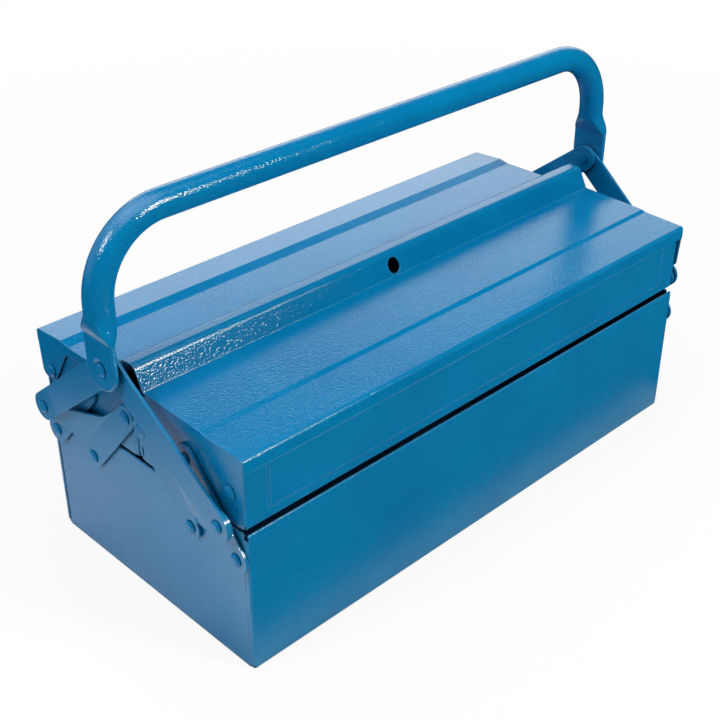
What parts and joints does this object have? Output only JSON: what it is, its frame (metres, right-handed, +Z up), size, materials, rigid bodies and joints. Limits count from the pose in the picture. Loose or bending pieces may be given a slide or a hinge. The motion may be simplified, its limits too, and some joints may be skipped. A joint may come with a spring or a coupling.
{
  "type": "tool_box",
  "caption": "Cantilever steel tool box: deep bottom box, lidded trays that fold out level on riveted side links, and a bent tube carrying handle; blue enamel sheet steel.",
  "frame": {"origin": "middle of the underside of the bottom box", "axes": "+X along the length to the right, +Y to the rear, +Z up"},
  "size_m": [0.481, 0.2094, 0.2805],
  "materials": {
    "sheet_enamel": "glossy blue enamel with a coarse orange peel on sheet steel",
    "linkage_enamel": "glossy blue enamel on the flat steel links, cranks and arms",
    "handle_enamel": "smoother glossy blue enamel on bent steel tube",
    "rivet_enamel": "steel rivets and spacer rings under the same blue enamel"
  },
  "bodies": {
    "bottom_box": {"bottom_shell": "sheet_enamel", "bottom_left_end": "sheet_enamel", "bottom_right_end": "sheet_enamel", "box_pivot_rivets": "rivet_enamel"},
    "rear_tray": {"rear_tray_shell": "sheet_enamel", "rear_tray_left_end": "sheet_enamel", "rear_tray_right_end": "sheet_enamel", "rear_tray_pivot_rivets": "rivet_enamel", "rear_lid_hinge_rivets": "rivet_enamel"},
    "front_tray": {"front_tray_shell": "sheet_enamel", "front_tray_left_end": "sheet_enamel", "front_tray_right_end": "sheet_enamel", "front_tray_pivot_rivets": "rivet_enamel", "front_lid_hinge_rivets": "rivet_enamel"},
    "rear_lid": {"rear_lid": "sheet_enamel"},
    "front_lid": {"front_lid": "sheet_enamel"},
    "rear_links": {"left_rear_link": "linkage_enamel", "right_rear_link": "linkage_enamel"},
    "front_links": {"left_front_link": "linkage_enamel", "right_front_link": "linkage_enamel"},
    "rear_cranks": {"left_rear_crank": "linkage_enamel", "right_rear_crank": "linkage_enamel", "rear_arm_rivets": "rivet_enamel", "rear_arm_spacer": "rivet_enamel"},
    "front_cranks": {"left_front_crank": "linkage_enamel", "right_front_crank": "linkage_enamel", "front_crank_rivet_tails": "rivet_enamel"},
    "rear_arms": {"left_rear_arm": "linkage_enamel", "right_rear_arm": "linkage_enamel"},
    "front_arms": {"left_front_arm": "linkage_enamel", "right_front_arm": "linkage_enamel", "front_arm_rivets": "rivet_enamel", "front_arm_spacer": "rivet_enamel"},
    "handle": {"handle": "handle_enamel", "handle_rivets": "rivet_enamel"}
  },
  "joints": [
    {"name": "rear_fold", "type": "hinge", "parent": "bottom_box", "child": "rear_cranks", "pos_m": [0, 0.0515, 0.0845], "axis": [-1, 0, 0], "range_deg": [0, 80]},
    {"name": "rear_tray_level", "type": "hinge", "parent": "rear_cranks", "child": "rear_tray", "pos_m": [0, 0.0085, 0.135], "axis": [-1, 0, 0], "range_deg": [-80, 0]},
    {"name": "rear_link_swing", "type": "hinge", "parent": "bottom_box", "child": "rear_links", "pos_m": [0, 0.0945, 0.0845], "axis": [-1, 0, 0], "range_deg": [0, 80]},
    {"name": "rear_arm_turn", "type": "hinge", "parent": "rear_cranks", "child": "rear_arms", "pos_m": [0, 0.089, 0.1106], "axis": [-1, 0, 0], "range_deg": [-75.89, 0]},
    {"name": "front_fold", "type": "hinge", "parent": "bottom_box", "child": "front_cranks", "pos_m": [0, -0.0515, 0.0845], "axis": [1, 0, 0], "range_deg": [0, 80]},
    {"name": "front_tray_level", "type": "hinge", "parent": "front_cranks", "child": "front_tray", "pos_m": [0, -0.0085, 0.135], "axis": [1, 0, 0], "range_deg": [-80, 0]},
    {"name": "front_link_swing", "type": "hinge", "parent": "bottom_box", "child": "front_links", "pos_m": [0, -0.0945, 0.0845], "axis": [1, 0, 0], "range_deg": [0, 80]},
    {"name": "front_arm_turn", "type": "hinge", "parent": "rear_arms", "child": "front_arms", "pos_m": [0, 0, 0.1812], "axis": [-1, 0, 0], "range_deg": [-8.21, 0]},
    {"name": "handle_swing", "type": "hinge", "parent": "rear_arms", "child": "handle", "pos_m": [0, 0, 0.1812], "axis": [1, 0, 0], "range_deg": [-50, 50]},
    {"name": "rear_lid_hinge", "type": "hinge", "parent": "rear_tray", "child": "rear_lid", "pos_m": [0, 0.092, 0.1323], "axis": [-1, 0, 0], "range_deg": [0, 105]},
    {"name": "front_lid_hinge", "type": "hinge", "parent": "front_tray", "child": "front_lid", "pos_m": [0, -0.092, 0.1323], "axis": [1, 0, 0], "range_deg": [0, 105]}
  ],
  "couplings": [
    {"joint": "rear_tray_level", "follows": "rear_fold", "ratio": -1},
    {"joint": "rear_link_swing", "follows": "rear_fold", "ratio": 1},
    {"joint": "rear_arm_turn", "follows": "rear_fold", "ratio": -0.94866},
    {"joint": "front_fold", "follows": "rear_fold", "ratio": 1},
    {"joint": "front_tray_level", "follows": "rear_fold", "ratio": -1},
    {"joint": "front_link_swing", "follows": "rear_fold", "ratio": 1},
    {"joint": "front_arm_turn", "follows": "rear_fold", "ratio": -0.10267}
  ]
}
